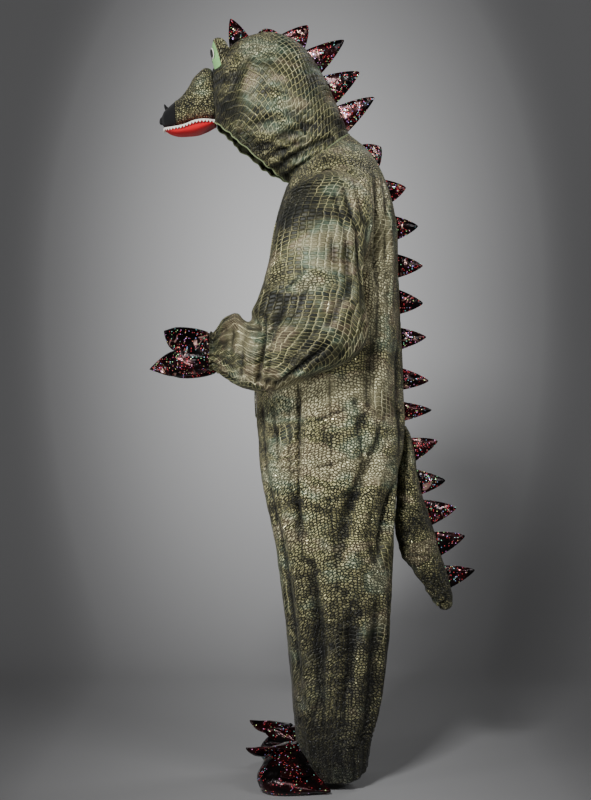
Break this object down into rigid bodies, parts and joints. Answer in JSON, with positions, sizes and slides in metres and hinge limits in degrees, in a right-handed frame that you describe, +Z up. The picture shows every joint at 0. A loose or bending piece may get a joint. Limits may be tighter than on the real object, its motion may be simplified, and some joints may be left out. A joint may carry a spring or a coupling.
{
  "type": "dinosaur costume",
  "caption": "Hooded dinosaur jumpsuit in embossed velour, held open as worn, with a stuffed snout and tail, sparkly spikes and claw flaps.",
  "frame": {"origin": "midway between the wearer's shoulders, inside the open neck of the suit, where the wearer carries it", "axes": "+Z up the body, -X the way the wearer faces, -Y the wearer's left"},
  "size_m": [0.7335, 0.6484, 1.7447],
  "materials": {
    "scale_velour": "velour embossed with reptile scales and printed in green, tan and mint, with a foil sheen",
    "sparkle_cloth": "dark red and black knit covered with holographic foil dots",
    "red_felt": "matte felt",
    "white_felt": "matte felt",
    "green_felt": "matte felt",
    "black_felt": "matte felt"
  },
  "bodies": {
    "root": {"back_left": "scale_velour", "back_right": "scale_velour", "back_spike_1": "sparkle_cloth", "back_spike_2": "sparkle_cloth", "back_spike_3": "sparkle_cloth", "back_spike_4": "sparkle_cloth", "back_spike_5": "sparkle_cloth", "back_spike_6": "sparkle_cloth", "back_spike_7": "sparkle_cloth", "back_spike_8": "sparkle_cloth", "eye_white_left": "white_felt", "eye_white_right": "white_felt", "eyeball_left": "green_felt", "eyeball_right": "green_felt", "eyelid_left": "scale_velour", "eyelid_right": "scale_velour", "foot_claw_left_1": "sparkle_cloth", "foot_claw_left_2": "sparkle_cloth", "foot_claw_left_3": "sparkle_cloth", "foot_claw_right_1": "sparkle_cloth", "foot_claw_right_2": "sparkle_cloth", "foot_claw_right_3": "sparkle_cloth", "foot_cover_left": "sparkle_cloth", "foot_cover_right": "sparkle_cloth", "front_left": "scale_velour", "front_placket": "scale_velour", "front_right": "scale_velour", "hand_flap_left": "sparkle_cloth", "hand_flap_right": "sparkle_cloth", "hood_left": "scale_velour", "hood_right": "scale_velour", "hood_spike_1": "sparkle_cloth", "hood_spike_2": "sparkle_cloth", "hood_spike_3": "sparkle_cloth", "hood_spike_4": "sparkle_cloth", "hood_spike_5": "sparkle_cloth", "hood_spike_6": "sparkle_cloth", "mouth_lining": "red_felt", "nose": "black_felt", "nostril_left": "black_felt", "nostril_right": "black_felt", "pupil_left": "black_felt", "pupil_right": "black_felt", "sleeve_left": "scale_velour", "sleeve_right": "scale_velour", "snout": "scale_velour", "tail": "scale_velour", "tail_spike_1": "sparkle_cloth", "tail_spike_2": "sparkle_cloth", "tail_spike_3": "sparkle_cloth", "tail_spike_4": "sparkle_cloth", "tail_spike_5": "sparkle_cloth", "teeth": "white_felt"}
  },
  "joints": []
}
